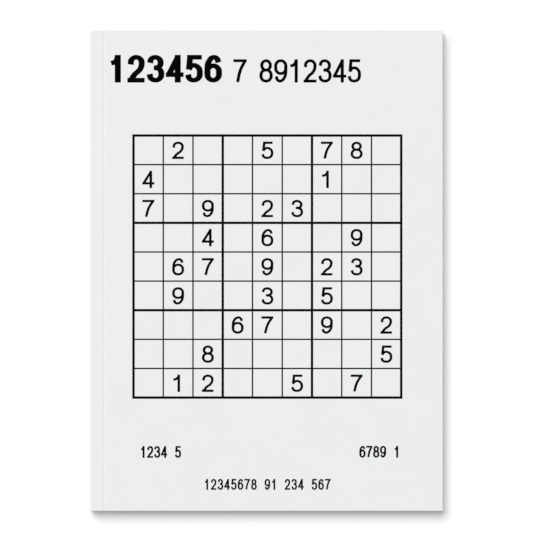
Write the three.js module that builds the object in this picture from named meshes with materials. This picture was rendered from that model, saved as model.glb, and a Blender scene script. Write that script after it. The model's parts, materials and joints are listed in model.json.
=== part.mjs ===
// A glued paperback puzzle book, closed and lying on its back cover, in millimetres.
// +X runs from the spine to the fore edge, +Y from the tail to the head, +Z out of the front cover.
// The origin is the middle of the back cover's underside.
import * as THREE from "three";

// Trimmed size of the closed book.
const WIDTH = 203.2;
const HEIGHT = 276.2;

// Cover card, its bend round the spine, and the creases that the covers fold on.
const CARD = 0.35;
const SPINE_INNER_RADIUS = 1.25;
const CREASE_FROM_SPINE = 8.55;
const CREASE_WIDTH = 0.3;

// Leaves, and the air left between two that only lie on each other.
const LEAF = 0.095;
const LEAF_AIR = 0.015;
const LEAVES_PER_SECTION = 8;
const SECTIONS = 8;
const SINGLE_LEAF_SECTIONS = 5;

// Hot-melt glue behind the leaves, side glue under the cover's strips, and the film between glue and paper.
const SPINE_GLUE_PAST_CORNER = 0.2;
const SIDE_GLUE = 0.06;
const SIDE_GLUE_FROM_CREASE = 1.2;
const GLUE_FILM = 0.015;

// Segments in each quarter-round bend of the card.
const BEND_SEGMENTS = 8;

// Heights, from the back cover's underside up.
const sectionPitch = LEAVES_PER_SECTION * (LEAF + LEAF_AIR);
const sectionThickness = sectionPitch - LEAF_AIR;
const blockBottom = CARD + GLUE_FILM + SIDE_GLUE + GLUE_FILM;
const blockTop = blockBottom + SECTIONS * sectionPitch - LEAF_AIR;
const thickness = blockTop + blockBottom;

// Places across the width, from the spine to the fore edge.
const spineX = -WIDTH / 2;
const foreEdgeX = WIDTH / 2;
const creaseX = spineX + CREASE_FROM_SPINE;
const boundEndX = creaseX - CREASE_WIDTH / 2;
const freeStartX = creaseX + CREASE_WIDTH / 2;
const spineGlueStartX = spineX + CARD + GLUE_FILM;
const spineGlueEndX = spineX + CARD + SPINE_INNER_RADIUS + SPINE_GLUE_PAST_CORNER;
const boundStartX = spineGlueEndX + GLUE_FILM;

const QUARTER = Math.PI / 2;

function cardFinish() {
  return new THREE.MeshStandardMaterial({ color: 0xf0f2f1, roughness: 0.45, metalness: 0 });
}

function leafFinish() {
  return new THREE.MeshStandardMaterial({ color: 0xe9e7e0, roughness: 0.85, metalness: 0 });
}

function glueFinish() {
  return new THREE.MeshStandardMaterial({ color: 0xe4ddc4, roughness: 0.5, metalness: 0 });
}

function namedMesh(name, geometry, material) {
  const mesh = new THREE.Mesh(geometry, material);
  mesh.name = name;
  return mesh;
}

// A flat layer over the full height of the book, between two places across it and two heights.
function layer(name, material, startX, endX, bottom, top) {
  const mesh = namedMesh(name, new THREE.BoxGeometry(endX - startX, HEIGHT, top - bottom), material);
  mesh.position.set((startX + endX) / 2, 0, (bottom + top) / 2);
  return mesh;
}

// A cross-section of the book, drawn across the width and up, run from the head to the tail.
function fullHeightProfile(name, material, section) {
  const geometry = new THREE.ExtrudeGeometry(section, {
    depth: HEIGHT,
    bevelEnabled: false,
    curveSegments: BEND_SEGMENTS,
  });
  const mesh = namedMesh(name, geometry, material);
  mesh.rotation.x = QUARTER;
  mesh.position.y = HEIGHT / 2;
  return mesh;
}

// The middle panel of the cover: the spine and a strip on each side of it, up to the creases.
function spineCover() {
  const outerRadius = SPINE_INNER_RADIUS + CARD;
  const bendX = spineX + outerRadius;
  const section = new THREE.Shape();
  section.moveTo(boundEndX, thickness);
  section.lineTo(bendX, thickness);
  section.absarc(bendX, thickness - outerRadius, outerRadius, QUARTER, 2 * QUARTER, false);
  section.lineTo(spineX, outerRadius);
  section.absarc(bendX, outerRadius, outerRadius, 2 * QUARTER, 3 * QUARTER, false);
  section.lineTo(boundEndX, 0);
  section.lineTo(boundEndX, CARD);
  section.lineTo(bendX, CARD);
  section.absarc(bendX, outerRadius, SPINE_INNER_RADIUS, 3 * QUARTER, 2 * QUARTER, true);
  section.lineTo(spineX + CARD, thickness - outerRadius);
  section.absarc(bendX, thickness - outerRadius, SPINE_INNER_RADIUS, 2 * QUARTER, QUARTER, true);
  section.lineTo(boundEndX, thickness - CARD);
  section.closePath();
  return fullHeightProfile("spine_cover", cardFinish(), section);
}

// The hot-melt glue that fills the bent card behind the leaves.
function spineGlue() {
  const radius = SPINE_INNER_RADIUS - GLUE_FILM;
  const bendX = spineGlueStartX + radius;
  const bottom = CARD + GLUE_FILM;
  const top = thickness - CARD - GLUE_FILM;
  const section = new THREE.Shape();
  section.moveTo(spineGlueEndX, top);
  section.lineTo(bendX, top);
  section.absarc(bendX, top - radius, radius, QUARTER, 2 * QUARTER, false);
  section.lineTo(spineGlueStartX, bottom + radius);
  section.absarc(bendX, bottom + radius, radius, 2 * QUARTER, 3 * QUARTER, false);
  section.lineTo(spineGlueEndX, bottom);
  section.closePath();
  return fullHeightProfile("spine_glue", glueFinish(), section);
}

// A strip of side glue, lying on a height.
function sideGlue(name, bottom) {
  const endX = boundEndX - SIDE_GLUE_FROM_CREASE;
  return layer(name, glueFinish(), boundStartX, endX, bottom, bottom + SIDE_GLUE);
}

// A section's top face, counted from 1 at the front cover.
function sectionTop(number) {
  return blockTop - (number - 1) * sectionPitch;
}

// The edge of a section that the spine glue holds, from the glue to the crease.
function boundEdge(number) {
  const top = sectionTop(number);
  const name = `section_${number}_bound_edge`;
  return layer(name, leafFinish(), boundStartX, boundEndX, top - sectionThickness, top);
}

// The free leaves of a section that turn one by one, counted through the book from the front.
function singleLeaves(number) {
  const group = new THREE.Group();
  for (let place = 0; place < LEAVES_PER_SECTION; place += 1) {
    const leafNumber = (number - 1) * LEAVES_PER_SECTION + place + 1;
    const name = `leaf_${String(leafNumber).padStart(2, "0")}`;
    const top = sectionTop(number) - place * (LEAF + LEAF_AIR);
    group.add(layer(name, leafFinish(), freeStartX, foreEdgeX, top - LEAF, top));
  }
  return group;
}

// The free leaves of a section that turn together, joined in one layer.
function leafPack(number) {
  const top = sectionTop(number);
  const name = `section_${number}_leaves`;
  return layer(name, leafFinish(), freeStartX, foreEdgeX, top - sectionThickness, top);
}

const cover = new THREE.Group();
cover.add(layer("front_cover", cardFinish(), freeStartX, foreEdgeX, thickness - CARD, thickness));
cover.add(spineCover());
cover.add(layer("back_cover", cardFinish(), freeStartX, foreEdgeX, 0, CARD));

const glue = new THREE.Group();
glue.add(spineGlue());
glue.add(sideGlue("front_side_glue", blockTop + GLUE_FILM));
glue.add(sideGlue("back_side_glue", CARD + GLUE_FILM));

const leafBlock = new THREE.Group();
for (let number = 1; number <= SECTIONS; number += 1) {
  leafBlock.add(boundEdge(number));
  leafBlock.add(number <= SINGLE_LEAF_SECTIONS ? singleLeaves(number) : leafPack(number));
}

const book = new THREE.Group();
book.add(cover, glue, leafBlock);

export default book;
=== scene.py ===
"""A glued paperback puzzle book, dressed over its solids: card cover, paper leaves, print and glue."""
import json
import math
import random

import bmesh
import bpy
from mathutils import Matrix, Vector

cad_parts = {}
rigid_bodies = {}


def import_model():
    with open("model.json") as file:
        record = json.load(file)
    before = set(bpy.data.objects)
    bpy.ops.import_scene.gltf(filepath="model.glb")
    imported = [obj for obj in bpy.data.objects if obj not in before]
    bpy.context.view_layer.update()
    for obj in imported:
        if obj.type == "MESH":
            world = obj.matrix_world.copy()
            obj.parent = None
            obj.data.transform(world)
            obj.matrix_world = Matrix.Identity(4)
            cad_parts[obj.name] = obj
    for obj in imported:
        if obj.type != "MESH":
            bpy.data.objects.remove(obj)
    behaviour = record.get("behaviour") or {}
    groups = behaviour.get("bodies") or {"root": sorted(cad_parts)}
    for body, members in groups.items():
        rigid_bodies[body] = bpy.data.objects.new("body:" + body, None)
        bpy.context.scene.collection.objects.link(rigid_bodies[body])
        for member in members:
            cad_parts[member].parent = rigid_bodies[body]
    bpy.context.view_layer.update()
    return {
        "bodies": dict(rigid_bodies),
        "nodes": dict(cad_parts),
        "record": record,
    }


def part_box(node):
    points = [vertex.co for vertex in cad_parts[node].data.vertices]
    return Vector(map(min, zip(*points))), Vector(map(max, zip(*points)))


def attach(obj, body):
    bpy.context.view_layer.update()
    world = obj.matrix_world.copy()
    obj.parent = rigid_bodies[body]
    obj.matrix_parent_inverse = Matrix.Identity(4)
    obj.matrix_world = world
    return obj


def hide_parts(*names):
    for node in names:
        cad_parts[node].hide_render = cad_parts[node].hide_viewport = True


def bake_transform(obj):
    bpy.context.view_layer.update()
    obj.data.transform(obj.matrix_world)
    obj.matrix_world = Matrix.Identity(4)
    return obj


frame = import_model()

MM = 0.001

# Places that the solids give
front_low, front_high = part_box("front_cover")
back_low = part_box("back_cover")[0]
spine_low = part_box("spine_cover")[0]
glue_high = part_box("spine_glue")[1]
first_leaf_low, first_leaf_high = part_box("leaf_01")
second_leaf_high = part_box("leaf_02")[1]
hinges = {joint["name"]: Vector(joint["pos_m"]) for joint in frame["record"]["behaviour"]["joints"]}
CREASE_X = hinges["front_cover_hinge"].x
SPINE_X = spine_low.x
FORE_EDGE_X = front_high.x
HEAD_Y = front_high.y
TAIL_Y = front_low.y
COVER_TOP = front_high.z
CARD = front_high.z - front_low.z
LEAF_SPACE = first_leaf_high.z - first_leaf_low.z
LEAF_PITCH = first_leaf_high.z - second_leaf_high.z
LEAVES_PER_SECTION = 8
leaf_bodies = [name for name in frame["bodies"] if name.startswith("leaf_")]
pack_bodies = [name for name in frame["bodies"] if name.endswith("_leaves")]

# Card: the pressed crease line, the bend round the spine and the columns where the card would fold at each
# hinge
GROOVE_HALF_WIDTH = 0.55 * MM
GROOVE_DEPTH = 0.15 * MM
GROOVE_SHARES = (0.0, 0.35, 0.7)
GROOVE_CURVE = 1.5
SPINE_BEND_RADIUS = 1.6 * MM
SPINE_BEND_STEPS = 12
FOLD_LENGTH = 1.8 * MM
FOLD_COLUMNS = 12
CARD_EDGE_ROUNDING = 0.06 * MM
FLAT_MARGIN = 0.2 * MM

# Leaves: paper thinner than its space, so that ink fits on both faces
PAPER = 0.072 * MM
GLUE_FILM = 0.02 * MM
GLUED_X = glue_high.x + GLUE_FILM
LEAF_BEND_LENGTH = 15.5 * MM
LEAF_BEND_COLUMNS = 36
TRIM_SCATTER = 0.06 * MM
TRIM_SEED = 9

# Ink, a little thinner on lines that cross others, so that no two faces lie in one plane
INK = 0.007 * MM
CROSSING_INK = 0.006 * MM

# The printed grid, on the front cover and on the pages
GRID_LEFT = -76.1 * MM
GRID_RIGHT = 77.8 * MM
GRID_TOP = 77.6 * MM
GRID_BOTTOM = -73.05 * MM
CELLS = 9
BOX_CELLS = 3

# The cells that hold a digit, and how far down its cell the middle of a digit lies
DIGIT_DROP = 0.508
GIVEN_CELLS = (
    ".#..#.##.",
    "#.....#..",
    "#.#.##...",
    "..#.#..#.",
    ".##.#.##.",
    ".#..#.#..",
    "...##.#.#",
    "..#.....#",
    ".##..#.#.",
)


# Mesh helpers

SHARP_ANGLE = math.radians(35)
TOLERANCE = 1e-7


def finished(name, bm, *materials):
    """A mesh object at the origin from a bmesh, with its materials."""
    mesh = bpy.data.meshes.new(name)
    bm.to_mesh(mesh)
    bm.free()
    for material in materials:
        mesh.materials.append(material)
    thing = bpy.data.objects.new(name, mesh)
    bpy.context.scene.collection.objects.link(thing)
    return thing


def smooth_along(bm):
    """Smooth faces, with sharp edges where two faces meet at a wide angle."""
    for face in bm.faces:
        face.smooth = True
    for edge in bm.edges:
        edge.smooth = edge.is_manifold and edge.calc_face_angle(0.0) < SHARP_ANGLE


def add_section(bm, points, tail=TAIL_Y, head=HEAD_Y):
    """A flat outline across the book at the tail, run up to the head. Points are (x, z)."""
    corners = [bm.verts.new((x, tail, z)) for x, z in points]
    face = bm.faces.new(corners)
    run = bmesh.ops.extrude_face_region(bm, geom=[face])
    moved = [item for item in run["geom"] if isinstance(item, bmesh.types.BMVert)]
    bmesh.ops.translate(bm, verts=moved, vec=(0, head - tail, 0))


def arc(centre_x, centre_z, radius, start, end, steps):
    """Points (x, z) on an arc, from one angle in quarter turns to another."""
    angles = [(start + (end - start) * step / steps) * math.pi / 2 for step in range(steps + 1)]
    return [(centre_x + radius * math.cos(a), centre_z + radius * math.sin(a)) for a in angles]


def columns(start, end, count):
    """Places at even steps from start to end."""
    return [start + (end - start) * step / count for step in range(count + 1)]


# Shader helpers

NOISE_LOW = 0.3
NOISE_HIGH = 0.7
WHITE = (1.0, 1.0, 1.0, 1.0)


def feed(tree, socket, value):
    """Links a socket to another socket, or sets it to a value."""
    if isinstance(value, bpy.types.NodeSocket):
        tree.links.new(value, socket)
    else:
        socket.default_value = value


def add_node(tree, kind, **sockets):
    """A node with some of its sockets fed, each by its label with underscores for spaces."""
    node = tree.nodes.new(kind)
    for label, value in sockets.items():
        feed(tree, node.inputs[label.replace("_", " ")], value)
    return node


def math_node(tree, operation, first, second):
    """The result of a sum on two numbers."""
    node = tree.nodes.new("ShaderNodeMath")
    node.operation = operation
    feed(tree, node.inputs[0], first)
    feed(tree, node.inputs[1], second)
    return node.outputs[0]


def ramp(tree, noise, dark, light, high=NOISE_HIGH):
    """A colour that runs from dark to light over the range of a noise."""
    node = tree.nodes.new("ShaderNodeValToRGB")
    node.color_ramp.elements[0].position = NOISE_LOW
    node.color_ramp.elements[0].color = (*dark, 1.0)
    node.color_ramp.elements[1].position = high
    node.color_ramp.elements[1].color = (*light, 1.0)
    tree.links.new(noise, node.inputs[0])
    return node.outputs[0]


def to_range(tree, noise, low, high):
    """A noise spread over a range of values."""
    spread = add_node(
        tree,
        "ShaderNodeMapRange",
        Value=noise,
        From_Min=NOISE_LOW,
        From_Max=NOISE_HIGH,
        To_Min=low,
        To_Max=high,
    )
    return spread.outputs[0]


def add_bump(tree, shader, height, strength, distance):
    """Fine relief on a surface."""
    bump = add_node(tree, "ShaderNodeBump", Height=height, Strength=strength, Distance=distance)
    tree.links.new(bump.outputs[0], shader.inputs["Normal"])


def new_material(name):
    """A material with its node tree and its surface shader."""
    material = bpy.data.materials.new(name)
    material.use_nodes = True
    tree = material.node_tree
    return material, tree, tree.nodes["Principled BSDF"]


# Grain: a cloud and short fibres, which each material of the book shows at its own scale

CLOUD_RELIEF = 0.4


def new_group(name, inputs, outputs):
    """An empty shader node group with named inputs and outputs, all of them numbers."""
    group = bpy.data.node_groups.new(name, "ShaderNodeTree")
    for label in inputs:
        group.interface.new_socket(label, in_out="INPUT", socket_type="NodeSocketFloat")
    for label in outputs:
        group.interface.new_socket(label, in_out="OUTPUT", socket_type="NodeSocketFloat")
    return group, group.nodes.new("NodeGroupInput"), group.nodes.new("NodeGroupOutput")


def fibre_group():
    """A soft cloud over the sheet, short fibres in it, and the height of both."""
    group, given, out = new_group(
        "paper fibres", ("Cloud Scale", "Fibre Scale", "Fibre Stretch"), ("Cloud", "Fibre", "Height")
    )
    place = group.nodes.new("ShaderNodeTexCoord").outputs["Object"]
    stretch = add_node(group, "ShaderNodeCombineXYZ", X=1.0, Y=given.outputs["Fibre Stretch"], Z=1.0)
    along = group.nodes.new("ShaderNodeVectorMath")
    along.operation = "MULTIPLY"
    group.links.new(place, along.inputs[0])
    group.links.new(stretch.outputs[0], along.inputs[1])
    cloud = add_node(
        group,
        "ShaderNodeTexNoise",
        Vector=place,
        Scale=given.outputs["Cloud Scale"],
        Detail=4.0,
        Roughness=0.6,
    )
    fibre = add_node(
        group,
        "ShaderNodeTexNoise",
        Vector=along.outputs[0],
        Scale=given.outputs["Fibre Scale"],
        Detail=3.0,
        Roughness=0.65,
        Distortion=0.8,
    )
    relief = math_node(group, "MULTIPLY", cloud.outputs[0], CLOUD_RELIEF)
    height = math_node(group, "ADD", relief, fibre.outputs[0])
    group.links.new(cloud.outputs[0], out.inputs["Cloud"])
    group.links.new(fibre.outputs[0], out.inputs["Fibre"])
    group.links.new(height, out.inputs["Height"])
    return group


FIBRES = fibre_group()


def fibres(tree, cloud_scale, fibre_scale, stretch):
    """The fibres placed in a material, at its own scale."""
    node = tree.nodes.new("ShaderNodeGroup")
    node.node_tree = FIBRES
    node.inputs["Cloud Scale"].default_value = cloud_scale
    node.inputs["Fibre Scale"].default_value = fibre_scale
    node.inputs["Fibre Stretch"].default_value = stretch
    return node


# Materials

PAPER_CLOUD_SHARE = 0.55
PAPER_FIBRE_SHARE = 0.45
INK_NOISE_HIGH = 0.75


def cover_card_material():
    """White coated card: nearly even, with a faint cloud, a satin sheen and a fine tooth."""
    material, tree, shader = new_material("cover card")
    grain = fibres(tree, cloud_scale=45.0, fibre_scale=2600.0, stretch=0.6)
    colour = ramp(tree, grain.outputs["Cloud"], dark=(0.776, 0.792, 0.783), light=(0.790, 0.806, 0.798))
    tree.links.new(colour, shader.inputs["Base Color"])
    roughness = to_range(tree, grain.outputs["Fibre"], low=0.46, high=0.58)
    tree.links.new(roughness, shader.inputs["Roughness"])
    shader.inputs["Specular IOR Level"].default_value = 0.3
    add_bump(tree, shader, grain.outputs["Height"], strength=0.12, distance=0.04 * MM)
    return material


def leaf_paper_material():
    """Uncoated puzzle paper: warm off-white, matt, with cloudy formation and short fibres."""
    material, tree, shader = new_material("leaf paper")
    grain = fibres(tree, cloud_scale=120.0, fibre_scale=2200.0, stretch=0.3)
    cloud = math_node(tree, "MULTIPLY", grain.outputs["Cloud"], PAPER_CLOUD_SHARE)
    fibre = math_node(tree, "MULTIPLY", grain.outputs["Fibre"], PAPER_FIBRE_SHARE)
    formation = math_node(tree, "ADD", cloud, fibre)
    colour = ramp(tree, formation, dark=(0.735, 0.715, 0.655), light=(0.805, 0.790, 0.735))
    tree.links.new(colour, shader.inputs["Base Color"])
    roughness = to_range(tree, grain.outputs["Fibre"], low=0.82, high=0.95)
    tree.links.new(roughness, shader.inputs["Roughness"])
    shader.inputs["Specular IOR Level"].default_value = 0.25
    add_bump(tree, shader, grain.outputs["Height"], strength=0.3, distance=0.05 * MM)
    return material


def print_ink_material():
    """Black printing ink, a little thinner where the fibres stand up."""
    material, tree, shader = new_material("print ink")
    grain = fibres(tree, cloud_scale=250.0, fibre_scale=3000.0, stretch=0.6)
    fibre = grain.outputs["Fibre"]
    colour = ramp(tree, fibre, (0.001, 0.001, 0.001), (0.0025, 0.0025, 0.0027), INK_NOISE_HIGH)
    tree.links.new(colour, shader.inputs["Base Color"])
    roughness = to_range(tree, fibre, low=0.7, high=0.9)
    tree.links.new(roughness, shader.inputs["Roughness"])
    shader.inputs["Specular IOR Level"].default_value = 0.01
    return material


def binding_glue_material():
    """Cream hot-melt glue: waxy, a little cloudy and uneven."""
    material, tree, shader = new_material("binding glue")
    grain = fibres(tree, cloud_scale=180.0, fibre_scale=700.0, stretch=1.0)
    colour = ramp(tree, grain.outputs["Cloud"], dark=(0.70, 0.62, 0.42), light=(0.82, 0.76, 0.60))
    tree.links.new(colour, shader.inputs["Base Color"])
    roughness = to_range(tree, grain.outputs["Fibre"], low=0.28, high=0.45)
    tree.links.new(roughness, shader.inputs["Roughness"])
    add_bump(tree, shader, grain.outputs["Height"], strength=0.5, distance=0.15 * MM)
    return material


CARD_FINISH = cover_card_material()
PAPER_FINISH = leaf_paper_material()
INK_FINISH = print_ink_material()
GLUE_FINISH = binding_glue_material()


# Cover


def groove_flank(side):
    """Half of the pressed groove as (x, depth), on the fore edge's side, 1, or the spine's side, -1."""
    return [
        (CREASE_X + side * share * GROOVE_HALF_WIDTH, GROOVE_DEPTH * (1 - share**GROOVE_CURVE))
        for share in GROOVE_SHARES
    ]


def fore_edge_rims(bm):
    """The two long edges of the card at the fore edge."""
    rims = []
    for edge in bm.edges:
        start, end = (vertex.co for vertex in edge.verts)
        at_fore_edge = min(start.x, end.x) > FORE_EDGE_X - TOLERANCE
        if at_fore_edge and abs(start.y - end.y) > TOLERANCE:
            rims.append(edge)
    return rims


def cover_panel(name, outer, inner):
    """A flat panel of card from the crease to the fore edge, with its half of the pressed groove."""
    fold_end = CREASE_X + FOLD_LENGTH
    across = columns(CREASE_X + GROOVE_HALF_WIDTH, fold_end, FOLD_COLUMNS)
    across += [fold_end + FLAT_MARGIN, FORE_EDGE_X - FLAT_MARGIN, FORE_EDGE_X]
    inwards = math.copysign(1.0, inner - outer)
    face = [(x, outer + inwards * depth) for x, depth in groove_flank(1)]
    face += [(x, outer) for x in across]
    under = [(x, inner) for x, _ in reversed(face)]
    bm = bmesh.new()
    add_section(bm, face + under)
    bmesh.ops.bevel(
        bm,
        geom=fore_edge_rims(bm),
        offset=CARD_EDGE_ROUNDING,
        segments=2,
        profile=0.5,
        affect="EDGES",
        material=-1,
    )
    bmesh.ops.recalc_face_normals(bm, faces=bm.faces)
    smooth_along(bm)
    return finished(name, bm, CARD_FINISH)


def spine_card():
    """The middle of the cover: a strip on each face up to the crease, bent softly round the spine."""
    top, bottom = COVER_TOP, spine_low.z
    bend_x = SPINE_X + SPINE_BEND_RADIUS
    high, low = top - SPINE_BEND_RADIUS, bottom + SPINE_BEND_RADIUS
    inner_radius = SPINE_BEND_RADIUS - CARD
    groove_x = CREASE_X - GROOVE_HALF_WIDTH
    strip = (groove_x, groove_x - FLAT_MARGIN, bend_x + FLAT_MARGIN)
    flank = groove_flank(-1)
    outside = [(x, top - depth) for x, depth in flank] + [(x, top) for x in strip]
    outside += arc(bend_x, high, SPINE_BEND_RADIUS, 1, 2, SPINE_BEND_STEPS)
    outside += arc(bend_x, low, SPINE_BEND_RADIUS, 2, 3, SPINE_BEND_STEPS)
    outside += [(x, bottom) for x in reversed(strip)]
    outside += [(x, bottom + depth) for x, depth in reversed(flank)]
    inside = [(CREASE_X, bottom + CARD)]
    inside += arc(bend_x, low, inner_radius, 3, 2, SPINE_BEND_STEPS)
    inside += arc(bend_x, high, inner_radius, 2, 1, SPINE_BEND_STEPS)
    inside += [(CREASE_X, top - CARD)]
    bm = bmesh.new()
    add_section(bm, outside + inside)
    bmesh.ops.recalc_face_normals(bm, faces=bm.faces)
    smooth_along(bm)
    return finished("spine_card", bm, CARD_FINISH)


def make_cover():
    """Two panels beside their creases, and the spine between them on the binding."""
    front = cover_panel("front_cover_card", COVER_TOP, COVER_TOP - CARD)
    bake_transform(front)
    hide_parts("front_cover")
    back = cover_panel("back_cover_card", back_low.z, back_low.z + CARD)
    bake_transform(back)
    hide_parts("back_cover")
    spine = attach(spine_card(), "binding")
    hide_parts("spine_cover")


# Digits, drawn as pen strokes in a unit box. A bar is straight with square ends, a line is straight,
# a curve is smooth and open, and a loop is smooth and closed.

OVAL_RIGHT = ((0.87, 0.86), (1.0, 0.5), (0.87, 0.14))
OVAL_LEFT = ((0.13, 0.14), (0.0, 0.5), (0.13, 0.86))
OVAL = ((0.5, 1.0), *OVAL_RIGHT, (0.5, 0.0), *OVAL_LEFT)
ONE_FLAG = ((-0.01, 0.745), (0.21, 0.765), (0.43, 0.85), (0.56, 1.0))
TWO_BOW = ((0.02, 0.68), (0.13, 0.91), (0.5, 1.0), (0.87, 0.91), (0.97, 0.72))
TWO_NECK = ((0.80, 0.46), (0.35, 0.24), (0.05, 0.0))
THREE_TOP_LEFT = ((0.04, 0.75), (0.15, 0.93), (0.48, 1.0))
THREE_TOP_RIGHT = ((0.83, 0.92), (0.94, 0.765), (0.80, 0.59), (0.44, 0.54))
THREE_WAIST = ((0.35, 0.54), (0.60, 0.54))
THREE_FOOT_RIGHT = ((0.44, 0.54), (0.84, 0.48), (1.0, 0.28), (0.86, 0.07))
THREE_FOOT_LEFT = ((0.48, 0.0), (0.12, 0.08), (0.0, 0.27))
FIVE_NECK = ((0.06, 0.46), (0.25, 0.61), (0.52, 0.65))
FIVE_FOOT = ((0.87, 0.55), (1.0, 0.33), (0.86, 0.08), (0.48, 0.0), (0.12, 0.07), (0.0, 0.25))
SIX_TAIL = ((0.95, 0.77), (0.80, 0.95), (0.53, 1.0), (0.15, 0.83), (0.005, 0.44), (0.03, 0.28))
SIX_BOWL_RIGHT = ((0.86, 0.55), (1.0, 0.315), (0.86, 0.08))
SIX_BOWL_LEFT = ((0.14, 0.08), (0.0, 0.315), (0.14, 0.55))
SIX_BOWL = ((0.5, 0.63), *SIX_BOWL_RIGHT, (0.5, 0.0), *SIX_BOWL_LEFT)
SEVEN_STEM = ((1.0, 1.0), (0.53, 0.53), (0.26, -0.05))
EIGHT_TOP_RIGHT = ((0.80, 0.93), (0.92, 0.77), (0.80, 0.61))
EIGHT_TOP_LEFT = ((0.20, 0.61), (0.08, 0.77), (0.20, 0.93))
EIGHT_TOP = ((0.5, 1.0), *EIGHT_TOP_RIGHT, (0.5, 0.535), *EIGHT_TOP_LEFT)
EIGHT_FOOT_RIGHT = ((0.86, 0.47), (1.0, 0.27), (0.86, 0.07))
EIGHT_FOOT_LEFT = ((0.14, 0.07), (0.0, 0.27), (0.14, 0.47))
EIGHT_FOOT = ((0.5, 0.545), *EIGHT_FOOT_RIGHT, (0.5, 0.0), *EIGHT_FOOT_LEFT)


def half_turned(points):
    """A stroke turned upside down in the unit box."""
    return tuple((1 - x, 1 - y) for x, y in points)


DIGITS = {
    "0": (("loop", OVAL),),
    "1": (("bar", ((0.57, 0.0), (0.57, 1.0))), ("curve", ONE_FLAG)),
    "2": (("curve", TWO_BOW + TWO_NECK), ("bar", ((0.0, 0.0), (0.96, 0.0)))),
    "3": (
        ("curve", THREE_TOP_LEFT + THREE_TOP_RIGHT),
        ("line", THREE_WAIST),
        ("curve", THREE_FOOT_RIGHT + THREE_FOOT_LEFT),
    ),
    "4": (
        ("bar", ((0.76, 0.0), (0.76, 1.0))),
        ("line", ((0.76, 1.0), (0.02, 0.27))),
        ("bar", ((0.0, 0.24), (1.0, 0.24))),
    ),
    "5": (
        ("bar", ((0.17, 1.0), (0.92, 1.0))),
        ("line", ((0.17, 1.0), (0.07, 0.46))),
        ("curve", FIVE_NECK + FIVE_FOOT),
    ),
    "6": (("curve", SIX_TAIL), ("loop", SIX_BOWL)),
    "7": (("bar", ((0.0, 1.0), (1.0, 1.0))), ("curve", SEVEN_STEM)),
    "8": (("loop", EIGHT_TOP), ("loop", EIGHT_FOOT)),
    "9": (("curve", half_turned(SIX_TAIL)), ("loop", half_turned(SIX_BOWL))),
}

# The pen is one wide. Strokes are joined at unlike thicknesses, then pressed to one.
HALF_PEN = 0.5
JOIN_STEP = 0.2
JOIN_REACH = 0.002


def pen_tip():
    """A flat square, one pen wide, that sweeps along the strokes."""
    corners = ((-HALF_PEN, -HALF_PEN), (HALF_PEN, -HALF_PEN), (HALF_PEN, HALF_PEN), (-HALF_PEN, HALF_PEN))
    tip = bpy.data.curves.new("pen tip", "CURVE")
    line = tip.splines.new("POLY")
    line.points.add(len(corners) - 1)
    for point, corner in zip(line.points, corners):
        point.co = (*corner, 0.0, 1.0)
    line.use_cyclic_u = True
    thing = bpy.data.objects.new("pen tip", tip)
    bpy.context.scene.collection.objects.link(thing)
    return thing


PEN_TIP = pen_tip()


def evaluated_bmesh(thing):
    """A bmesh of an object's shape, with its sweep or its modifiers applied."""
    depsgraph = bpy.context.evaluated_depsgraph_get()
    bm = bmesh.new()
    bm.from_mesh(bpy.data.meshes.new_from_object(thing.evaluated_get(depsgraph)))
    return bm


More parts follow.
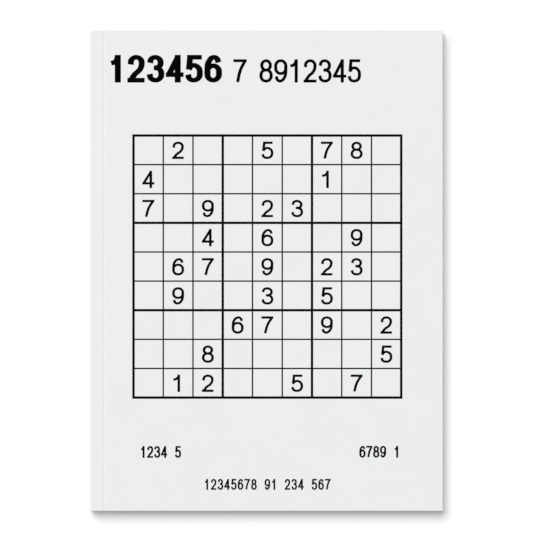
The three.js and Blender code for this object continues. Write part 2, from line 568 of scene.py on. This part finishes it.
class Lettering:
    """Plain digits of one height, width and pen, as flat meshes made once each."""

    def __init__(self, height, width, pen_across, pen_up, roundness):
        self.height = height
        self.width = width
        self.pen = Vector((pen_across, pen_up, INK))
        self.reach = Vector((width / pen_across - 1, height / pen_up - 1, 0))
        self.roundness = roundness
        self.made = {}

    def stroke(self, kind, points):
        """One pen stroke as a new object, in pen widths."""
        curve = bpy.data.curves.new("stroke", "CURVE")
        curve.dimensions = "3D"
        curve.twist_mode = "Z_UP"
        curve.bevel_mode = "OBJECT"
        curve.bevel_object = PEN_TIP
        curve.use_fill_caps = True
        places = [Vector((x * self.reach.x, y * self.reach.y, 0)) for x, y in points]
        if kind == "bar":
            cap = (places[1] - places[0]).normalized() * HALF_PEN
            places = [places[0] - cap, places[1] + cap]
        smooth = kind in ("curve", "loop")
        handle = "AUTO" if smooth else "VECTOR"
        line = curve.splines.new("BEZIER")
        line.bezier_points.add(len(places) - 1)
        line.use_cyclic_u = kind == "loop"
        line.resolution_u = self.roundness if smooth else 1
        for knot, place in zip(line.bezier_points, places):
            knot.co = place
            knot.handle_left_type = handle
            knot.handle_right_type = handle
        thing = bpy.data.objects.new("stroke", curve)
        bpy.context.scene.collection.objects.link(thing)
        return thing

    def solid_stroke(self, place, kind, points):
        """One stroke as a closed solid, thicker for each later place in its digit."""
        stroke = self.stroke(kind, points)
        bm = evaluated_bmesh(stroke)
        bmesh.ops.remove_doubles(bm, verts=bm.verts, dist=JOIN_REACH)
        bmesh.ops.scale(bm, verts=bm.verts, vec=(1.0, 1.0, 1.0 + JOIN_STEP * place))
        bmesh.ops.recalc_face_normals(bm, faces=bm.faces)
        bpy.data.objects.remove(stroke)
        return finished("solid", bm)

    def drawn(self, mark):
        """The digit's strokes joined in one flat solid, with its lower left corner at the origin."""
        solids = [self.solid_stroke(place, *stroke) for place, stroke in enumerate(DIGITS[mark])]
        for other in solids[1:]:
            union = solids[0].modifiers.new("join", "BOOLEAN")
            union.operation = "UNION"
            union.solver = "EXACT"
            union.object = other
        bm = evaluated_bmesh(solids[0])
        for solid in solids:
            bpy.data.objects.remove(solid)
        for vertex in bm.verts:
            vertex.co.z = math.copysign(HALF_PEN, vertex.co.z)
        bmesh.ops.remove_doubles(bm, verts=bm.verts, dist=JOIN_REACH)
        bmesh.ops.dissolve_degenerate(bm, edges=bm.edges, dist=JOIN_REACH)
        bmesh.ops.translate(bm, verts=bm.verts, vec=(HALF_PEN, HALF_PEN, HALF_PEN))
        bmesh.ops.scale(bm, verts=bm.verts, vec=self.pen)
        bmesh.ops.recalc_face_normals(bm, faces=bm.faces)
        mesh = bpy.data.meshes.new("digit")
        bm.to_mesh(mesh)
        bm.free()
        return mesh

    def digit(self, mark):
        """The mesh of a digit, drawn the first time that it is asked for."""
        if mark not in self.made:
            self.made[mark] = self.drawn(mark)
        return self.made[mark]


class Page:
    """Ink on one flat face, seen from its own side: lines and digits, gathered in one mesh."""

    def __init__(self):
        self.bm = bmesh.new()

    def bar(self, low_x, high_x, low_y, high_y, ink):
        """One straight printed line."""
        place = Matrix.Translation(((low_x + high_x) / 2, (low_y + high_y) / 2, ink / 2))
        size = Matrix.Diagonal((high_x - low_x, high_y - low_y, ink, 1.0))
        bmesh.ops.create_cube(self.bm, size=1.0, matrix=place @ size)

    def mark(self, lettering, digit, left, bottom):
        """One digit, by its lower left corner."""
        before = len(self.bm.verts)
        self.bm.from_mesh(lettering.digit(digit))
        self.bm.verts.ensure_lookup_table()
        bmesh.ops.translate(self.bm, verts=self.bm.verts[before:], vec=(left, bottom, 0))

    def row(self, text, lettering, left, bottom, step):
        """Digits and spaces set at even steps."""
        for place, digit in enumerate(text):
            if digit != " ":
                self.mark(lettering, digit, left + place * step, bottom)

    def row_between(self, text, lettering, left, right, bottom):
        """Digits and spaces spread from a left end to a right end."""
        steps = max(len(text) - 1, 1)
        self.row(text, lettering, left, bottom, (right - left - lettering.width) / steps)

    def grid(self, left, right, thin, thick):
        """Nine by nine cells, with a thick line round each box of three by three."""
        for place in range(CELLS + 1):
            half = (thin if place % BOX_CELLS else thick) / 2
            x = left + (right - left) * place / CELLS
            y = GRID_BOTTOM + (GRID_TOP - GRID_BOTTOM) * place / CELLS
            self.bar(x - half, x + half, GRID_BOTTOM - thick / 2, GRID_TOP + thick / 2, INK)
            self.bar(left - thick / 2, right + thick / 2, y - half, y + half, CROSSING_INK)

    def puzzle(self, left, right, lettering, cells, shift):
        """The given digits of a puzzle whose rows follow one formula, moved on by a shift."""
        wide = (right - left) / CELLS
        high = (GRID_TOP - GRID_BOTTOM) / CELLS
        for row, marks in enumerate(cells):
            for column, given in enumerate(marks):
                if given == "#":
                    value = (BOX_CELLS * (row % BOX_CELLS) + row // BOX_CELLS + column + shift) % CELLS + 1
                    x = left + (column + 0.5) * wide - lettering.width / 2
                    y = GRID_TOP - (row + DIGIT_DROP) * high - lettering.height / 2
                    self.mark(lettering, str(value), x, y)

    def laid(self, bm, face_z, side):
        """Adds the ink to a mesh on a face that looks up, side 1, or down, side -1."""
        if side < 0:
            half_turn = Matrix.Rotation(math.pi, 3, "Y")
            bmesh.ops.rotate(self.bm, cent=(0, 0, 0), matrix=half_turn, verts=self.bm.verts)
        bmesh.ops.translate(self.bm, verts=self.bm.verts, vec=(0, 0, face_z))
        ink = bpy.data.meshes.new("ink")
        self.bm.to_mesh(ink)
        self.bm.free()
        bm.from_mesh(ink)
        bpy.data.meshes.remove(ink)


def ink_piece(name, bm, body):
    """Print that rides on the sheet it is printed on."""
    piece = finished(name, bm, INK_FINISH)
    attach(piece, body)


# Front cover print. Each lettering has its height, its width, its pen across and up, and its roundness.

GRID_DIGITS = Lettering(10.0 * MM, 6.9 * MM, 1.5 * MM, 1.35 * MM, 6)
HEAVY_DIGITS = Lettering(15.9 * MM, 10.2 * MM, 3.5 * MM, 2.7 * MM, 8)
LIGHT_DIGITS = Lettering(13.4 * MM, 7.7 * MM, 1.85 * MM, 1.7 * MM, 8)
NOTE_DIGITS = Lettering(6.8 * MM, 3.6 * MM, 1.15 * MM, 1.02 * MM, 5)
SMALL_DIGITS = Lettering(6.3 * MM, 3.25 * MM, 1.02 * MM, 0.95 * MM, 5)
THIN_LINE = 0.82 * MM
THICK_LINE = 1.4 * MM

# Rows of plain digits, each with its left end, its right end and its base line.
COVER_ROWS = (
    ("123456", HEAVY_DIGITS, -90.7 * MM, -25.2 * MM, 108.05 * MM),
    ("7", LIGHT_DIGITS, -18.7 * MM, -11.0 * MM, 108.05 * MM),
    ("8912345", LIGHT_DIGITS, -3.75 * MM, 54.7 * MM, 108.05 * MM),
    ("1234 5", NOTE_DIGITS, -72.3 * MM, -48.75 * MM, -107.7 * MM),
    ("6789 1", NOTE_DIGITS, 53.7 * MM, 77.1 * MM, -107.6 * MM),
    ("12345678 91 234 567", SMALL_DIGITS, -35.5 * MM, 37.2 * MM, -126.1 * MM),
)


def make_cover_print():
    """The grid with its digits, two weights of plain digits above it and three small rows below."""
    page = Page()
    page.grid(GRID_LEFT, GRID_RIGHT, THIN_LINE, THICK_LINE)
    page.puzzle(GRID_LEFT, GRID_RIGHT, GRID_DIGITS, GIVEN_CELLS, 0)
    for row in COVER_ROWS:
        page.row_between(*row)
    bm = bmesh.new()
    page.laid(bm, COVER_TOP, 1)
    ink_piece("front_cover_print", bm, "front_cover")


# Leaves

PAGE_DIGITS = Lettering(8.4 * MM, 5.9 * MM, 1.1 * MM, 1.0 * MM, 2)
FOLIO_DIGITS = Lettering(4.6 * MM, 3.1 * MM, 0.62 * MM, 0.56 * MM, 2)
PAGE_THIN_LINE = 0.45 * MM
PAGE_THICK_LINE = 1.0 * MM
NUMBER_LINE_Y = 92.0 * MM
NUMBER_STEP = 7.08 * MM
FOLIO_LINE_Y = -118.0 * MM
FOLIO_STEP = 3.875 * MM
scatter = random.Random(TRIM_SEED)


def add_sheet(bm, middle_z):
    """One flat sheet of paper from the spine glue to the trimmed edges, with columns where it would bend.
    """
    bend = columns(CREASE_X, CREASE_X + LEAF_BEND_LENGTH, LEAF_BEND_COLUMNS)
    across = [GLUED_X] + bend + [FORE_EDGE_X - scatter.uniform(0, TRIM_SCATTER)]
    top = [(x, middle_z + PAPER / 2) for x in across]
    under = [(x, middle_z - PAPER / 2) for x in reversed(across)]
    tail = TAIL_Y + scatter.uniform(0, TRIM_SCATTER)
    head = HEAD_Y - scatter.uniform(0, TRIM_SCATTER)
    add_section(bm, top + under, tail, head)


def turned_cells(cells, quarter_turns):
    """The pattern of given cells, turned so that neighbouring pages differ."""
    for _ in range(quarter_turns % 4):
        cells = ["".join(row[column] for row in reversed(cells)) for column in range(CELLS)]
    return cells


def puzzle_page(number):
    """A page with one puzzle, its number above it and the page number at the foot."""
    right_hand = number % 2 == 1
    left, right = (GRID_LEFT, GRID_RIGHT) if right_hand else (-GRID_RIGHT, -GRID_LEFT)
    page = Page()
    page.grid(left, right, PAGE_THIN_LINE, PAGE_THICK_LINE)
    page.puzzle(left, right, PAGE_DIGITS, turned_cells(GIVEN_CELLS, number), number)
    text = str(number)
    page.row(text, PAGE_DIGITS, left, NUMBER_LINE_Y, NUMBER_STEP)
    outer = right - len(text) * FOLIO_STEP if right_hand else left
    page.row(text, FOLIO_DIGITS, outer, FOLIO_LINE_Y, FOLIO_STEP)
    return page


def dress_leaves(name, body, nodes, tops, first_page):
    """Flat sheets from the bound edge, with print on their two outer faces that turns with a body."""
    middles = [top - LEAF_SPACE / 2 for top in tops]
    bm = bmesh.new()
    for middle in middles:
        add_sheet(bm, middle)
    bmesh.ops.recalc_face_normals(bm, faces=bm.faces)
    smooth_along(bm)
    paper = finished(name + "_paper", bm, PAPER_FINISH)
    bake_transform(paper)
    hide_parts(*nodes)
    ink = bmesh.new()
    puzzle_page(first_page).laid(ink, middles[0] + PAPER / 2, 1)
    puzzle_page(first_page + 2 * len(tops) - 1).laid(ink, middles[-1] - PAPER / 2, -1)
    ink_piece(name + "_print", ink, body)


def make_leaves():
    """Leaves that turn one by one, then the sections at the back that turn as packs."""
    for place, body in enumerate(leaf_bodies):
        section = place // LEAVES_PER_SECTION + 1
        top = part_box(body)[1].z
        dress_leaves(body, body, (body, f"section_{section}_bound_edge"), [top], 2 * place + 1)
    for place, body in enumerate(pack_bodies):
        first = len(leaf_bodies) + place * LEAVES_PER_SECTION
        name = f"section_{first // LEAVES_PER_SECTION + 1}"
        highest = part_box(body)[1].z
        tops = [highest - step * LEAF_PITCH for step in range(LEAVES_PER_SECTION)]
        dress_leaves(name, body, (body, name + "_bound_edge"), tops, 2 * first + 1)


def finish_glue():
    """The glue keeps its solids and gets its own finish."""
    for node in ("spine_glue", "front_side_glue", "back_side_glue"):
        thing = frame["nodes"][node]
        thing.data.materials.clear()
        thing.data.materials.append(GLUE_FINISH)


make_cover()
make_cover_print()
make_leaves()
finish_glue()
bpy.data.objects.remove(PEN_TIP)


# Stage: a white floor with a low ramp beside the spine, soft light and the camera

FLOOR_COLOUR = (0.98, 0.98, 0.98, 1.0)
FLOOR_LIFT = 0.02
FLOOR_HALF = 6.0
RAMP_LENGTH = 45 * MM
RAMP_DEPTH = 12 * MM
DIP_UNDER_SPINE = 0.75 * MM
FILL_STRENGTH = 0.40
KEY_STRENGTH = 2.53
KEY_ANGLE = math.radians(44)
KEY_TOWARDS_HEAD = 0.62
KEY_TOWARDS_SPINE = 0.37

# The picture is square, and as wide as this at the cover.
PICTURE_WIDTH = 306.4 * MM
CAMERA_AIM = Vector((0.35 * MM, 2.3 * MM, COVER_TOP))
CAMERA_HEIGHT = 1.6
SENSOR_WIDTH = 36.0


def seen_directly(tree):
    """One for what the camera sees, straight on or mirrored, and nought for soft light."""
    path = tree.nodes.new("ShaderNodeLightPath")
    seen = math_node(tree, "MAXIMUM", path.outputs["Is Camera Ray"], path.outputs["Is Glossy Ray"])
    return math_node(tree, "MAXIMUM", seen, path.outputs["Is Transmission Ray"])


def mixed_shader(tree, share, first, second, out):
    """Two shaders mixed by a share of the second, as the tree's output."""
    mix = tree.nodes.new("ShaderNodeMixShader")
    tree.links.new(share, mix.inputs[0])
    tree.links.new(first.outputs[0], mix.inputs[1])
    tree.links.new(second.outputs[0], mix.inputs[2])
    tree.links.new(mix.outputs[0], out.inputs[0])


def stage_floor_material():
    """White floor that keeps shadows, lifted a little for the camera so that it ends in plain white."""
    material = bpy.data.materials.new("stage floor")
    material.use_nodes = True
    tree = material.node_tree
    tree.nodes.clear()
    out = tree.nodes.new("ShaderNodeOutputMaterial")
    diffuse = add_node(tree, "ShaderNodeBsdfDiffuse", Color=FLOOR_COLOUR)
    lift = add_node(tree, "ShaderNodeEmission", Color=WHITE, Strength=1.0)
    mixed_shader(tree, math_node(tree, "MULTIPLY", seen_directly(tree), FLOOR_LIFT), diffuse, lift, out)
    return material


def make_floor():
    """Flat under the book, and falling away beside the spine to leave room for the open back cover."""
    bm = bmesh.new()
    across = (
        (-FLOOR_HALF, -RAMP_DEPTH),
        (SPINE_X - RAMP_LENGTH, -RAMP_DEPTH),
        (SPINE_X, -DIP_UNDER_SPINE),
        (CREASE_X, 0.0),
        (FLOOR_HALF, 0.0),
    )
    line = [bm.verts.new((x, -FLOOR_HALF, z)) for x, z in across]
    edges = [bm.edges.new(pair) for pair in zip(line, line[1:])]
    run = bmesh.ops.extrude_edge_only(bm, edges=edges)
    moved = [item for item in run["geom"] if isinstance(item, bmesh.types.BMVert)]
    bmesh.ops.translate(bm, verts=moved, vec=(0, 2 * FLOOR_HALF, 0))
    bmesh.ops.recalc_face_normals(bm, faces=bm.faces)
    floor = finished("stage_floor", bm, stage_floor_material())


def make_world():
    """Even white light from all round, and plain white where the camera sees past the floor."""
    world = bpy.data.worlds.new("studio")
    world.use_nodes = True
    tree = world.node_tree
    tree.nodes.clear()
    out = tree.nodes.new("ShaderNodeOutputWorld")
    fill = add_node(tree, "ShaderNodeBackground", Color=WHITE, Strength=FILL_STRENGTH)
    backdrop = add_node(tree, "ShaderNodeBackground", Color=WHITE, Strength=1.0)
    mixed_shader(tree, seen_directly(tree), fill, backdrop, out)
    bpy.context.scene.world = world


def make_key_lamp():
    """One wide soft lamp far above the head of the book, a little to the spine's side."""
    lamp = bpy.data.lights.new("key", "SUN")
    lamp.energy = KEY_STRENGTH
    lamp.angle = KEY_ANGLE
    thing = bpy.data.objects.new("key", lamp)
    bpy.context.scene.collection.objects.link(thing)
    way = Vector((-KEY_TOWARDS_SPINE, KEY_TOWARDS_HEAD, 1.0)).normalized()
    thing.location = way
    thing.rotation_euler = way.to_track_quat("Z", "Y").to_euler()


def make_camera():
    """Straight above the cover, with a lens that frames the picture at the cover's height."""
    camera = bpy.data.cameras.new("camera")
    camera.sensor_width = SENSOR_WIDTH
    camera.lens = SENSOR_WIDTH * CAMERA_HEIGHT / PICTURE_WIDTH
    thing = bpy.data.objects.new("camera", camera)
    bpy.context.scene.collection.objects.link(thing)
    thing.location = CAMERA_AIM + Vector((0, 0, CAMERA_HEIGHT))
    bpy.context.scene.camera = thing


make_floor()
make_world()
make_key_lamp()
make_camera()
bpy.context.scene.view_settings.view_transform = "Standard"
